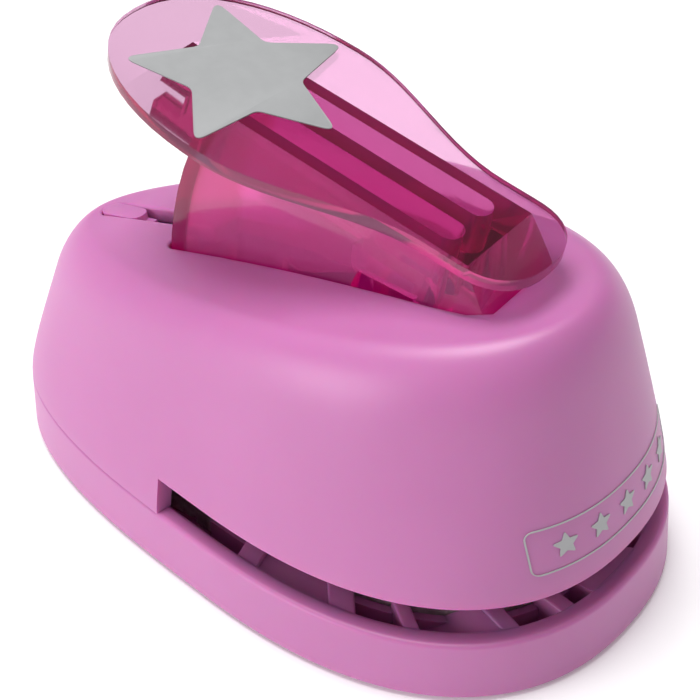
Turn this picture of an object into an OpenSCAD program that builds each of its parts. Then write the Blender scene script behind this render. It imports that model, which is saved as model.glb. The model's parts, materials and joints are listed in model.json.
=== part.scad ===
// Lever craft punch: a hand press that cuts a small star out of card.
// Millimetres, +Z up, front (the paper throat) towards -Y. The origin is on the table,
// midway between the two ends and on the plane of symmetry.

/* [Body] */
// Length of the base, front to back
body_length = 76; // [75:0.5:77]
// Half width of the base at mid length
body_half_width = 22.4; // [22:0.1:22.8]
// How much wider the front is than the back
egg_taper = 0.22; // [0.18:0.01:0.25]
// Roundness of the front end (2 is an ellipse)
front_exponent = 2.28; // [2.2:0.01:2.4]
// Squareness of the back end
back_exponent = 3.1; // [2.95:0.05:3.3]
// Height of the base rim above the table
rim_height = 7; // [6.8:0.05:7.05]
// Height of the cover's lower edge over the paper throat
throat_top = 11.15; // [11.1:0.05:11.4]
// Height of the cover's top at mid length
cover_height = 31.15; // [30:0.05:33]
// Fall of the cover's top towards the back, per millimetre
top_slope = 0.218; // [0.2:0.002:0.235]
// Wall of the cover
cover_wall = 1.8; // [1.5:0.1:2]
// Wall of the base rim
rim_wall = 1.9; // [1.6:0.1:2.2]

/* [Slot] */
// Half width of the lever's slot in the cover
slot_half_width = 5.7; // [5.5:0.05:6]
// Front end of the slot
slot_front = -23.3; // [-24:0.1:-23]
// Back end of the slot
slot_back = 16.95; // [16.9:0.05:17.5]
// Half width of the narrow groove behind the slot
groove_half_width = 1.3; // [1.25:0.05:1.5]
// Back end of the narrow groove
groove_back = 31.4; // [31.3:0.05:31.6]

/* [Lever] */
// Front-to-back place of the pivot
pivot_y = -26; // [-26.2:0.1:-25.8]
// Height of the pivot
pivot_z = 21.65; // [21.5:0.05:21.8]
// Slope of the lever plate at rest
lever_rise = 11.7; // [11.5:0.1:12]
// How far the lever swings down
lever_swing = 24; // [23.5:0.1:24]
// Height of the plate's top over the pivot, square to the plate
plate_top = 18.25; // [18:0.05:18.5]
// Thickness of the plate
plate_thickness = 1.3; // [1.2:0.05:1.6]
// Half width of the plate's wide end
plate_half_width = 12; // [11:0.1:12.5]
// Half width of the plate's tongue
tongue_half_width = 6.4; // [6:0.1:6.8]
// Outside half width of the lever's box
box_half_width = 5.1; // [4.9:0.05:5.2]
// Thickness of the box walls
box_wall = 1.4; // [1.2:0.1:1.5]
// Radius of the box's back wall about the pivot
back_wall_radius = 42.85; // [42.5:0.05:42.9]
// Radius of the pivot pin
pin_radius = 1.5; // [1.4:0.05:1.6]

/* [Punch] */
// Tip radius of the star that is cut
star_radius = 11.4; // [10:0.1:11.6]
// Notch radius of the star over its tip radius
star_notch = 0.51; // [0.48:0.01:0.54]
// Front-to-back place of the star
punch_y = -8; // [-8.2:0.1:-7.8]
// Side clearance of the punch in the guide and the die
punch_clearance = 0.12; // [0.1:0.01:0.2]
// Top face of the die plate
die_top = 7.1; // [7.05:0.05:7.2]
// Underside of the upper guide
guide_bottom = 9.2; // [9:0.05:9.4]

/* [Hidden] */
$fn = 48;

pink = "#d98cc4";
magenta = "#c2317f";
cast_grey = "#55585c";
steel = "#b9bdc2";
sticker_grey = "#aeb0b2";
bronze = "#b08a3c";

half_length = body_length / 2;
cover_bottom = rim_height + 0.02;    // the cover rests on the rim behind the throat
throat_end_y = 6.1;                  // back end of the throat
plateau_half_width = 13.2;           // where the shoulder meets the nearly flat top
plateau_half_length = 31;
plateau_shift = 1.2;
plateau_exponent = 1.95;
cover_inset = 0.35;                  // the cover's foot stands in from the base by this much
shoulder_share = 0.38;               // the shoulder's curve: share of the inset where it would be upright
shoulder_height = 0.47;              // and its share of the height
shoulder_start = 33;                 // angle at which the curve takes over from the leaning wall
top_bow = 1.46;                      // fall of the top's ends by its lengthwise bow
top_camber = 0.5;                    // rise of the top's middle line
ring_points = 96;
slot_corner = 1.6;
bracket_half_width = 7.4;            // outside of the bracket's ears
ear_thickness = 1.3;
guide_top = 12.5;
star_ri = star_radius * star_notch;
clear_scale = 1 + punch_clearance / (star_edge_distance(star_radius, star_ri));
cam_radius = 2;
cam_arm = 18.5;                      // pivot to cam
cam_angle = 0.3;                     // cam's angle in the lever's own frame
carrier_bottom = 20.4;
carrier_top = 22.2;
pusher_top = pivot_z + cam_arm * sin(lever_rise + cam_angle) - cam_radius - 0.06;
pin_x = 11.6;                        // guide pins, left and right
pin_y = -5;
spring_seat = 10.2;
spring_top = 24.6;
pressed_slope = lever_rise - lever_swing;     // slope of the plate, and of the lock's path, when pressed
chip_hole = 12.2;
floor_thickness = 1.6;
casting_foot = floor_thickness + 0.05;
die_plate_thickness = 1.2;
// Screws: thread, tapped hole and clearance hole radii
large_thread = 1.25;
large_tapped = 1.27;
large_clear = 1.35;
large_head = 2.3;
head_well = 2.6;
small_thread = 1;
small_tapped = 1.02;
small_clear = 1.1;
small_head = 1.8;

// ---- shared outlines ----
function blend(a, b, t) = a + (b - a) * t;
function smooth(t) = let (u = min(1, max(0, t))) u * u * (3 - 2 * u);
function signed_pow(v, p) = sign(v) * pow(abs(v), p);

// One point of an egg-shaped outline: t degrees round, half sizes a and b, centre shifted by e.
function egg_point(t, a, b, e, nf, nb) =
    let (c = cos(t), s = sin(t), n = s < 0 ? nf : nb)
    let (v = signed_pow(s, 2 / n))
    [a * signed_pow(c, 2 / n) * (1 - egg_taper * v), b * v + e];

function egg(a, b, e = 0, nf = front_exponent, nb = back_exponent, count = ring_points) =
    [for (i = [0:count - 1]) egg_point((i + 0.5) * 360 / count, a, b, e, nf, nb)];

// The body outline drawn in by a constant inset.
function body_outline(inset, count = ring_points) =
    egg(body_half_width - inset, half_length - inset, count = count);

function rounded_box(w, l, r, steps = 6) =
    [for (q = [[1, 1, 0], [-1, 1, 90], [-1, -1, 180], [1, -1, 270]], i = [0:steps])
        [q[0] * (w / 2 - r) + r * cos(q[2] + i * 90 / steps),
         q[1] * (l / 2 - r) + r * sin(q[2] + i * 90 / steps)]];

// Star with one tip towards -Y.
function star_points(ro, ri) =
    [for (i = [0:4]) each [
        [ro * cos(-90 + 72 * i), ro * sin(-90 + 72 * i)],
        [ri * cos(-54 + 72 * i), ri * sin(-54 + 72 * i)]]];

function star_edge_distance(ro, ri) =
    ro * ri * sin(36) / sqrt(ro * ro + ri * ri - 2 * ro * ri * cos(36));

// ---- the cover's surface ----
function top_z(y) = cover_height - top_slope * y - top_bow * pow(y / half_length, 2);

// Profile of the wall and shoulder: share of the inset, share of the height.
function shoulder_point(q) =
    [blend(shoulder_share, 1, 1 - cos(q)), blend(shoulder_height, 1, sin(q))];
wall_bend = [0.03, 0.166];           // pulls the leaning wall upright near its foot
function wall_point(t) =
    2 * t * (1 - t) * wall_bend + t * t * shoulder_point(shoulder_start);
function wall_profile(steps) = concat(
    [for (i = [0:4]) wall_point(i / 5)],
    [for (j = [0:steps]) shoulder_point(blend(shoulder_start, 90, j / steps))]);

function body_ring(share, rise, drop, foot, wall) =
    let (a = blend(body_half_width - cover_inset, plateau_half_width, share) - wall)
    let (b = blend(half_length - cover_inset, plateau_half_length, share) - wall)
    let (nf = blend(front_exponent, plateau_exponent, share))
    let (nb = blend(back_exponent, plateau_exponent, share))
    [for (p = egg(a, b, plateau_shift * share, nf, nb))
        [p[0], p[1], foot + (top_z(p[1]) - drop - foot) * rise]];

// The plateau closes in smaller rings, each a little higher.
function cap_ring(scale, drop, wall) =
    [for (p = egg((plateau_half_width - wall) * scale, (plateau_half_length - wall) * scale,
            plateau_shift, plateau_exponent, plateau_exponent))
        [p[0], p[1], top_z(p[1]) - drop + top_camber * (1 - scale * scale)]];

module loft(rings) {
    n = len(rings[0]);
    m = len(rings);
    points = [for (r = rings) each r];
    sides = [for (j = [0:m - 2], i = [0:n - 1]) let (k = (i + 1) % n) each [
        [j * n + i, (j + 1) * n + k, j * n + k],
        [j * n + i, (j + 1) * n + i, (j + 1) * n + k]]];
    bottom = [for (i = [1:n - 2]) [0, i, i + 1]];
    top = [for (i = [1:n - 2]) [(m - 1) * n, (m - 1) * n + i + 1, (m - 1) * n + i]];
    polyhedron(points = points, faces = concat(bottom, sides, top), convexity = 6);
}

module body_solid(drop, wall, foot, steps) {
    loft(concat(
        [for (p = wall_profile(steps)) body_ring(p[0], p[1], drop, foot, wall)],
        [for (s = [0.8, 0.5, 0.15]) cap_ring(s, drop, wall)]));
}

// A plate of the egg outline, cut to a span along Y.
module egg_plate(inset, z0, z1, y0 = -50, y1 = 50) {
    intersection() {
        translate([0, 0, z0]) linear_extrude(z1 - z0) polygon(body_outline(inset, 48));
        translate([-50, y0, z0 - 1]) cube([100, y1 - y0, z1 - z0 + 2]);
    }
}

module bolt(r, length, head_r, head_h, socket = true) {
    difference() {
        union() {
            cylinder(r = r, h = length);
            translate([0, 0, -head_h]) cylinder(r = head_r, h = head_h);
        }
        if (socket) for (a = [0, 90])
            rotate(a) translate([-head_r * 0.6, -head_r * 0.14, -head_h - 0.1])
                cube([head_r * 1.2, head_r * 0.28, head_h * 0.6]);
    }
}

// ---- base ----
rib_root = 1;                                     // ribs and raised floors start inside the floor
rib_top = rim_height - 0.2;
ribs = [[195, 2.6], [220.5, 2.6], [233, 1.5], [248.5, 1.8], [258.5, 1.8]];    // angle and width, left side
// pockets with a raised floor: from angle, to angle, height at each end
raised_pockets = [[195, 220.5, 6.3, 6.3], [233, 248.5, 3.2, 6.6], [264, 270, 6.5, 6.6]];
die_inset = 6;                                    // the lower casting's edge, inside the base outline
wall_gap = 0.2;                                   // between the casting and the wall that locates it
locating_wall = 0.8;
locating_wall_top = 4.9;
boss_split = 10.4;                                // where the rear bosses of base and cover meet
base_screw_spots = [[-11.5, -21], [11.5, -21]];
cover_screw_spots = [[-8.6, 25.8], [8.6, 25.8]];
frame_screw_spots = [[-11.6, 13], [11.6, 13]];
spacer_length = guide_bottom - die_top;

module base_tray() {
    color(pink) difference() {
        union() {
            difference() {
                loft([body_ring_flat(0.5, 0), body_ring_flat(0, 0.8), body_ring_flat(0.3, rim_height - 0.5),
                    body_ring_flat(0.75, rim_height)]);
                translate([0, 0, floor_thickness]) linear_extrude(rim_height)
                    polygon(body_outline(rim_wall + 0.3, 72));
            }
            base_ribs();
            casting_wall();
            for (p = cover_screw_spots) translate([p[0], p[1], rib_root])
                cylinder(r = 3.2, h = boss_split - rib_root);
        }
        translate([0, punch_y, -1]) cylinder(r = chip_hole, h = 5);
        for (p = base_screw_spots) translate([p[0], p[1], -1]) {
            cylinder(r = large_clear, h = 6);
            cylinder(r = head_well, h = 1.9);
        }
        for (p = frame_screw_spots) translate([p[0], p[1], -1]) cylinder(r = head_well, h = 6);
        for (p = cover_screw_spots) translate([p[0], p[1], -1]) {
            cylinder(r = large_clear, h = 14);
            cylinder(r = head_well, h = 4.5);
        }
    }
}

function body_ring_flat(inset, z) = [for (p = body_outline(inset, 72)) [p[0], p[1], z]];

// Radial ribs carry the paper between the rim and the die; some pockets have a raised floor.
module base_ribs() {
    intersection() {
        difference() {
            for (side = [0, 1]) mirror([side, 0, 0]) {
                for (r = ribs) rotate(r[0]) translate([0, -r[1] / 2, rib_root])
                    cube([60, r[1], rib_top - rib_root]);
                for (p = raised_pockets) hull() {
                    radial_slice(p[0], p[2]);
                    radial_slice(p[1], p[3]);
                }
            }
            translate([0, 0, rib_root - 0.1]) linear_extrude(rim_height)
                polygon(body_outline(die_inset - wall_gap, 48));
        }
        translate([0, 0, rib_root]) linear_extrude(rim_height) polygon(body_outline(rim_wall, 72));
    }
}

// Thin upright slice at an angle, one end of a raised floor.
module radial_slice(angle, top) {
    rotate(angle) translate([15, 0, rib_root]) cube([30, 0.01, top - rib_root]);
}

// Low wall that locates the lower casting.
module casting_wall() {
    intersection() {
        translate([0, 0, rib_root]) linear_extrude(locating_wall_top - rib_root) difference() {
            polygon(body_outline(die_inset - wall_gap - locating_wall, 48));
            polygon(body_outline(die_inset - wall_gap, 48));
        }
        translate([-50, -50, 0]) cube([100, 50 + throat_end_y - 0.8, 10]);
    }
}

module base_screws() {
    color(steel) for (p = base_screw_spots) translate([p[0], p[1], 0.9])
        bolt(large_thread, 4.4, large_head, 0.85);
}

module cover_screws() {
    color(steel) for (p = cover_screw_spots) translate([p[0], p[1], 3.5])
        bolt(large_thread, 13, large_head, 1.2);
}

// ---- cutting frame ----
module lower_die_casting() {
    color(cast_grey) difference() {
        union() {
            difference() {
                egg_plate(die_inset, casting_foot, die_top, -32, throat_end_y);
                egg_plate(die_inset + casting_lip, die_top - die_plate_thickness, die_top + 1, -32, 4.6);
            }
            for (x = [-lug_x, lug_x]) translate([x, 11.5, casting_foot])
                linear_extrude(die_top - casting_foot) polygon(rounded_box(7.6, 12, 2));
        }
        translate([0, punch_y, 0]) linear_extrude(10) polygon(star_points(star_radius + 1, star_ri + 0.8));
        for (p = base_screw_spots) translate([p[0], p[1], 1]) cylinder(r = large_tapped, h = 4.5);
        for (p = frame_screw_spots) translate([p[0], p[1], 0]) {
            cylinder(r = large_clear, h = 10);
            cylinder(r = head_well - 0.1, h = 3.2);
        }
        for (p = die_plate_spots) translate([p[0], p[1], 3.4]) cylinder(r = small_tapped, h = 4);
    }
}

casting_lip = 2;                                  // rough rim round the die plate
lug_x = 11.6;                                     // rear lugs that join the two castings
die_plate_spots = [[-11.6, -16.5], [11.6, -16.5], [-11.6, 1.4], [11.6, 1.4]];

module die_plate() {
    color(steel) difference() {
        egg_plate(die_inset + casting_lip + 0.1, die_top - die_plate_thickness, die_top, -31.6, 4.5);
        translate([0, punch_y, 0]) linear_extrude(10)
            polygon(star_points(star_radius * clear_scale, star_ri * clear_scale));
        for (p = die_plate_spots) translate([p[0], p[1], 0]) {
            cylinder(r = small_clear, h = 12);
            translate([0, 0, die_top - 0.75]) cylinder(r = small_head + 0.1, h = 2);
        }
    }
}

module die_plate_screws() {
    color(steel) for (p = die_plate_spots) translate([p[0], p[1], die_top - 0.7])
        mirror([0, 0, 1]) bolt(small_thread, 2.8, small_head, 0.65);
}

cover_front_spots = [[-11.8, -22], [11.8, -22]];
bracket_screw_spots = [[-4.2, -23.2], [4.2, -23.2]];

module upper_guide_casting() {
    color(cast_grey) difference() {
        union() {
            egg_plate(6.2, guide_bottom, guide_top, -30.5, throat_end_y - 0.6);
            for (x = [-lug_x, lug_x]) translate([x, 10.5, guide_bottom])
                linear_extrude(guide_top - guide_bottom) polygon(rounded_box(7.6, 13, 2));
        }
        translate([0, punch_y, 0]) linear_extrude(20)
            polygon(star_points(star_radius * clear_scale, star_ri * clear_scale));
        for (s = [-1, 1]) translate([s * pin_x, pin_y, 0]) {
            cylinder(r = guide_pin_radius + 0.01, h = 20);
            translate([0, 0, spring_seat]) cylinder(r = 3.5, h = 6);
        }
        for (p = frame_screw_spots) translate([p[0], p[1], 0]) cylinder(r = large_tapped, h = 20);
        for (p = cover_front_spots) translate([p[0], p[1], 0]) {
            cylinder(r = large_clear, h = 20);
            cylinder(r = 2.2, h = guide_bottom + 1.4);
        }
        for (p = bracket_screw_spots) translate([p[0], p[1], 0]) cylinder(r = small_tapped, h = 20);
    }
}

module frame_spacers() {
    color(steel) for (p = frame_screw_spots) translate([p[0], p[1], die_top]) difference() {
        cylinder(r = 3.2, h = spacer_length);
        translate([0, 0, -1]) cylinder(r = large_clear, h = 9);
    }
}

module frame_screws() {
    color(steel) for (p = frame_screw_spots) translate([p[0], p[1], 3.15])
        bolt(large_thread, 8.8, large_head, 1.3);
}

module cover_front_screws() {
    color(steel) for (p = cover_front_spots) translate([p[0], p[1], guide_bottom + 1.35])
        bolt(large_thread, 7, 2, 1.2);
}

// ---- pivot ----
bracket_plate = 1.2;
ear_radius = 3.2;
module pivot_bracket() {
    color(steel) difference() {
        union() {
            translate([-bracket_half_width, -29.2, guide_top])
                cube([2 * bracket_half_width, 8.2, bracket_plate]);
            for (s = [-1, 1]) translate([s * (bracket_half_width - ear_thickness / 2), 0, 0])
                rotate([90, 0, 90]) translate([0, 0, -ear_thickness / 2]) {
                    translate([pivot_y - ear_radius, guide_top, 0])
                        cube([2 * ear_radius, pivot_z - guide_top, ear_thickness]);
                    translate([pivot_y, pivot_z, 0]) cylinder(r = ear_radius, h = ear_thickness);
                }
        }
        translate([-20, pivot_y, pivot_z]) rotate([0, 90, 0]) cylinder(r = pin_radius + 0.01, h = 40);
        for (p = bracket_screw_spots) translate([p[0], p[1], 5]) cylinder(r = small_clear, h = 12);
        // the lever's bosses swing between the ears
        translate([-bracket_half_width + ear_thickness, pivot_y, pivot_z]) rotate([0, 90, 0])
            cylinder(r = 4, h = 2 * (bracket_half_width - ear_thickness));
    }
}

module bracket_screws() {
    color(steel) for (p = bracket_screw_spots) translate([p[0], p[1], guide_top + bracket_plate])
        mirror([0, 0, 1]) bolt(small_thread, 4, small_head, 0.9);
}

pin_half_length = 8.4;
clip_inner = 7.45;
clip_thickness = 0.5;
groove_radius = pin_radius - 0.3;
module lever_pin() {
    color(steel) translate([0, pivot_y, pivot_z]) rotate([0, 90, 0]) difference() {
        translate([0, 0, -pin_half_length]) cylinder(r = pin_radius, h = 2 * pin_half_length);
        for (s = [0, 1]) mirror([0, 0, s]) translate([0, 0, clip_inner - 0.03]) difference() {
            cylinder(r = pin_radius + 1, h = clip_thickness + 0.06);
            translate([0, 0, -1]) cylinder(r = groove_radius, h = 3);
        }
    }
}

module pin_retaining_clips() {
    color(cast_grey) for (s = [0, 1]) mirror([s, 0, 0]) translate([clip_inner, pivot_y, pivot_z])
        rotate([0, 90, 0]) difference() {
            cylinder(r = 2.9, h = clip_thickness);
            translate([0, 0, -1]) cylinder(r = groove_radius + 0.01, h = 3);
            translate([-0.9, -4, -1]) cube([1.8, 4, 3]);
        }
}

// ---- lever, drawn about its pivot with the plate level: X across, Y to the back, Z up ----
module lever_place() {
    translate([0, pivot_y, pivot_z]) rotate([lever_rise, 0, 0]) children();
}

plate_wide_y = 34.9;
plate_back = 54.3;
plate_front = 3.1;
tongue_start = 9.2;
neck_y = 13;

function round_end(share, exponent) = pow(max(0, 1 - pow(share, exponent)), 1 / exponent);

// Half width of the plate at a distance y from the pivot.
function plate_width_at(y) =
    y > plate_wide_y
        ? plate_half_width * round_end((y - plate_wide_y) / (plate_back - plate_wide_y), 2.2)
    : y > tongue_start
        ? blend(tongue_half_width, plate_half_width, smooth((y - neck_y) / (plate_wide_y - neck_y)))
    : tongue_half_width * round_end((tongue_start - y) / (tongue_start - plate_front), 2.4);

// Stations along the plate, closer together at its two round ends.
plate_stations = concat(
    [for (i = [0:9]) plate_front + (tongue_start - plate_front) * (1 - cos(i * 9))],
    [for (i = [0:15]) blend(tongue_start, plate_wide_y, i / 15)],
    [for (i = [1:14]) plate_wide_y + (plate_back - plate_wide_y) * sin(i * 90 / 14)]);

module plate_shape() {
    polygon(concat(
        [for (y = plate_stations) [plate_width_at(y), y]],
        [for (i = [len(plate_stations) - 2:-1:1]) let (y = plate_stations[i]) [-plate_width_at(y), y]]));
}

under = plate_top - plate_thickness;
function back_wall_y(z) = sqrt(back_wall_radius * back_wall_radius - z * z);

back_wall_foot = -7.6;
back_wall_levels = [for (i = [0:8]) blend(back_wall_foot, under + 0.2, i / 8)];

// Side view of a box wall: shallow over the front, deep at the back, and an arm down to the pivot.
wall_side = concat(
    [[8.9, under + 0.2], [6.3, 13.4], [2.9, 1.6], [-2.9, -0.6], [0.5, -3], [3.4, -0.4], [6, 5], [9.6, 9.6],
     [12, 10], [20, 9], [20.4, 7.2], [20.8, 0.3], [31.4, -1.2], [34.4, -1.6], [34.8, -6],
     [41.5, back_wall_foot]],
    [for (z = back_wall_levels) [back_wall_y(z), z]]);

module side_slab(outline, x0, x1) {
    translate([x0, 0, 0]) rotate([90, 0, 90]) linear_extrude(x1 - x0) polygon(outline);
}

// Centre rib: a shallow web with a tail behind the box, notched for the lock.
rib_half_width = 0.9;
tail_back = 48.3;
notch_y = 45;
rib_side = [[9.5, under + 0.2], [10.5, 9.4], [41.2, 8.8], [42.2, 11.2], [tail_back, 11.2],
    [tail_back, 12.3], [notch_y, 12.3], [notch_y, 13.8], [tail_back, 13.8],
    [tail_back - 1.2, under + 0.2]];

hub_x = 4.4;                         // hubs on the pivot pin
hub_radius = 3.4;
hub_width = 2.8;
module lever() {
    color(magenta, 0.6) lever_place() difference() {
        union() {
            translate([0, 0, under]) linear_extrude(plate_thickness) plate_shape();
            side_slab(wall_side, box_half_width - box_wall, box_half_width);
            side_slab(wall_side, -box_half_width, box_wall - box_half_width);
            side_slab(rib_side, -rib_half_width, rib_half_width);
            lever_back_wall();
            lever_front_wall();
            lever_press_foot();
            for (s = [-1, 1]) translate([s * hub_x, 0, 0]) rotate([0, 90, 0])
                cylinder(r = hub_radius, h = hub_width, center = true);
        }
        translate([-10, 0, 0]) rotate([0, 90, 0]) cylinder(r = pin_radius + 0.04, h = 20);
    }
}

module lever_back_wall() {
    side_slab(concat(
        [for (z = back_wall_levels) [back_wall_y(z), z]],
        [for (i = [len(back_wall_levels) - 1:-1:0]) let (z = back_wall_levels[i])
            [back_wall_y(z) - box_wall, z]]), -box_half_width, box_half_width);
    // lip that stops the lever under the cover
    side_slab([[41.8, back_wall_foot], [44.1, back_wall_foot], [44.1, -6], [42, -5]], -4.4, 4.4);
}

// The front wall closes the two channels beside the rib; their ends are round.
channel_end = 11.4;
module lever_front_wall() {
    r = (box_half_width - box_wall - rib_half_width) / 2;
    difference() {
        side_slab([[8.9, under + 0.2], [6.3, 13.4], [4.7, 7.6], [6.1, 7.2], [7.6, 9.2],
            [channel_end + 2, 9.2], [channel_end + 2, under + 0.2]], -box_half_width, box_half_width);
        for (s = [-1, 1]) translate([s * (rib_half_width + r), channel_end + r, 0]) {
            cylinder(r = r, h = under);
            translate([-r, 0, 0]) cube([2 * r, 10, under]);
        }
    }
}

// The foot that pushes the punch down.
foot_half_width = 2.6;
module lever_press_foot() {
    side_slab([[14.6, 10], [16.5, 0], [20.5, 0], [22.2, 10]], -foot_half_width, foot_half_width);
    translate([0, cam_arm * cos(cam_angle), cam_arm * sin(cam_angle)]) rotate([0, 90, 0])
        cylinder(r = cam_radius, h = 2 * foot_half_width, center = true);
}

sticker_y = 40;
module lever_star_sticker() {
    color(sticker_grey) lever_place() translate([0, sticker_y, plate_top]) linear_extrude(0.15)
        polygon(star_points(star_radius, star_ri));
}

// ---- punch ----
module star_punch() {
    color(steel) difference() {
        translate([0, punch_y, guide_bottom + 0.6]) linear_extrude(carrier_bottom - guide_bottom - 0.6)
            polygon(star_points(star_radius, star_ri));
        translate([0, punch_y, 14]) cylinder(r = large_tapped, h = 10);
    }
}

guide_pin_radius = 1.4;
barrel_height = 6.4;                 // the carrier's two barrels, round the guide pins
bush_radius = 2.2;
module punch_carrier() {
    color(cast_grey) difference() {
        union() {
            translate([0, (punch_y + pin_y) / 2, carrier_bottom])
                linear_extrude(carrier_top - carrier_bottom)
                polygon(rounded_box(2 * pin_x + 4, 11, 3));
            for (s = [-1, 1]) translate([s * pin_x, pin_y, carrier_bottom])
                cylinder(r = 3.9, h = barrel_height);
        }
        for (s = [-1, 1]) translate([s * pin_x, pin_y, 0]) {
            cylinder(r = bush_radius, h = 40);
            cylinder(r = 3.3, h = spring_top);
        }
        translate([0, punch_y, 10]) cylinder(r = large_clear, h = 20);
        translate([0, punch_y, carrier_top - 1.2]) cylinder(r = head_well - 0.1, h = 3);
    }
}

module punch_screw() {
    color(steel) translate([0, punch_y, carrier_top - 1.15]) mirror([0, 0, 1])
        bolt(large_thread, 6, large_head + 0.1, 1.1);
}

// Smooth cap between the carrier and the lever's foot.
module pusher_cap() {
    color("white") translate([0, punch_y, carrier_top]) linear_extrude(pusher_top - carrier_top)
        polygon(rounded_box(8.4, 7, 1.6));
}

module guide_pins() {
    color(steel) for (s = [-1, 1]) translate([s * pin_x, pin_y, guide_bottom])
        cylinder(r = guide_pin_radius, h = 26.6 - guide_bottom);
}

module guide_bushes() {
    color(bronze) for (s = [-1, 1]) translate([s * pin_x, pin_y, spring_top + 0.05]) difference() {
        cylinder(r = bush_radius - 0.01, h = carrier_bottom + barrel_height - spring_top - 0.05);
        translate([0, 0, -1]) cylinder(r = guide_pin_radius + 0.04, h = 20);
    }
}

spring_wire = 0.3;
spring_turns = 6;
module return_spring(x) {
    r = 2.75;
    sides = 8;
    per_turn = 16;
    count = spring_turns * per_turn;
    low = spring_seat + spring_wire + 0.02;
    high = spring_top - spring_wire - 0.02;
    rings = [for (i = [0:count]) let (a = i * 360 / per_turn) [for (k = [sides - 1:-1:0])
        let (q = (k + 0.5) * 360 / sides, rr = r + spring_wire * cos(q))
        [rr * cos(a), rr * sin(a), blend(low, high, i / count) + spring_wire * sin(q)]]];
    color(steel) translate([x, pin_y, 0]) loft(rings);
}

module return_spring_left() { return_spring(-pin_x); }
module return_spring_right() { return_spring(pin_x); }

// ---- lever lock ----
module lock_place() {
    translate([0, pivot_y, pivot_z]) rotate([pressed_slope, 0, 0]) children();
}

lock_front = 49.6;
lock_back = 55.55;
module lever_lock_slide() {
    color(pink) lock_place() {
        // thumb ridge that shows in the groove
        translate([0, 0, 12.6]) linear_extrude(1.42) capsule(1.2, lock_front, lock_back);
        // foot under the cover
        translate([-2.6, lock_front + 0.3, 10.6]) cube([5.2, 3.2, 1]);
        translate([-1.15, lock_front + 1.15, 11.5]) cube([2.3, 2.3, 1.2]);
        // nose that enters the notch of the lever's tail
        translate([-0.8, lock_front - 1.1, 12.4]) cube([1.6, 3, 0.8]);
    }
}

module capsule(r, y0, y1) {
    translate([0, y0 + r]) circle(r = r);
    translate([0, y1 - r]) circle(r = r);
    translate([-r, y0 + r]) square([2 * r, y1 - y0 - 2 * r]);
}

// Thin plate under the cover that carries the lock slide's foot.
keeper_front = lock_front - 1.4;
keeper_length = 7;
keeper_half_width = 4.9;
keeper_level = 10.4;
module lock_keeper_plate() {
    color(steel) lock_place() translate([-keeper_half_width, keeper_front, keeper_level - 0.5])
        cube([2 * keeper_half_width, keeper_length, 0.5]);
}

// ---- cover ----
module housing_cover() {
    color(pink) difference() {
        union() {
            difference() {
                body_solid(0, 0, cover_bottom, 9);
                body_solid(cover_wall, cover_wall, cover_bottom - 0.8, 6);
            }
            cover_bosses();
        }
        translate([0, (slot_front + slot_back) / 2, 18]) linear_extrude(30)
            polygon(rounded_box(2 * slot_half_width, slot_back - slot_front, slot_corner));
        translate([-groove_half_width, slot_back - 1, 12])
            cube([2 * groove_half_width, groove_back - slot_back + 1, 30]);
        translate([-40, -50, cover_bottom - 2])
            cube([80, 50 + throat_end_y, throat_top - cover_bottom + 2]);
        for (p = cover_screw_spots) translate([p[0], p[1], 5]) cylinder(r = large_tapped, h = 12);
        for (p = cover_front_spots) translate([p[0], p[1], 5]) cylinder(r = large_tapped, h = 13);
    }
}

// Collar that stiffens the front and the two sides of the slot.
collar_wall = 1.3;
collar_depth = 3.3;
collar_front = slot_front - collar_wall;
collar_end = slot_back - 2;
module slot_collar() {
    side_slab(concat(
        [for (i = [0:8]) let (y = blend(collar_end, collar_front, i / 8)) [y, top_z(y) - collar_depth]],
        [[collar_front, cover_height + 10], [collar_end, cover_height + 10]]),
        -slot_half_width - collar_wall, slot_half_width + collar_wall);
}

// Screw bosses, lock ledges and the slot's collar hang from the inside of the top.
module cover_bosses() {
    intersection() {
        union() {
            slot_collar();
            for (p = cover_screw_spots) translate([p[0], p[1], boss_split + 0.02])
                cylinder(r = 2.9, h = 30);
            // ledges that the lock's keeper plate is bonded to
            for (s = [-1, 1]) lock_place() translate([s * (keeper_half_width - 0.8) - 0.8, keeper_front,
                keeper_level + 0.02]) cube([1.6, keeper_length, 6]);
            for (p = cover_front_spots) translate([p[0], p[1], guide_top + 0.02])
                cylinder(r = 2.6, h = 30);
        }
        body_solid(0.6, 0.6, cover_bottom - 0.8, 6);
    }
}

// Generic badge on the front: a thin frame with a row of small stars.
label_width = 24;
label_height = 5;
label_z = 16.4;
label_frame = 0.25;
module front_label() {
    color(sticker_grey) intersection() {
        difference() {
            body_solid(-0.14, -0.14, cover_bottom, 9);
            body_solid(-0.02, -0.02, cover_bottom - 0.1, 9);
        }
        translate([0, -20, label_z]) rotate([90, 0, 0]) linear_extrude(30) {
            difference() {
                polygon(rounded_box(label_width, label_height, 0.9));
                polygon(rounded_box(label_width - 2 * label_frame, label_height - 2 * label_frame, 0.6));
            }
            for (i = [-2:2]) translate([i * 4.2, 0]) rotate(180) polygon(star_points(1.4, 0.65));
        }
    }
}

base_tray();
housing_cover();
front_label();
lever();
lever_star_sticker();
lever_pin();
pin_retaining_clips();
pivot_bracket();
bracket_screws();
lower_die_casting();
die_plate();
die_plate_screws();
upper_guide_casting();
frame_spacers();
frame_screws();
star_punch();
punch_carrier();
punch_screw();
pusher_cap();
guide_pins();
guide_bushes();
return_spring_left();
return_spring_right();
base_screws();
cover_screws();
cover_front_screws();
lever_lock_slide();
lock_keeper_plate();
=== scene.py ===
import json
import math

import bmesh
import bpy
import numpy as np
from mathutils import Matrix, Vector


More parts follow.
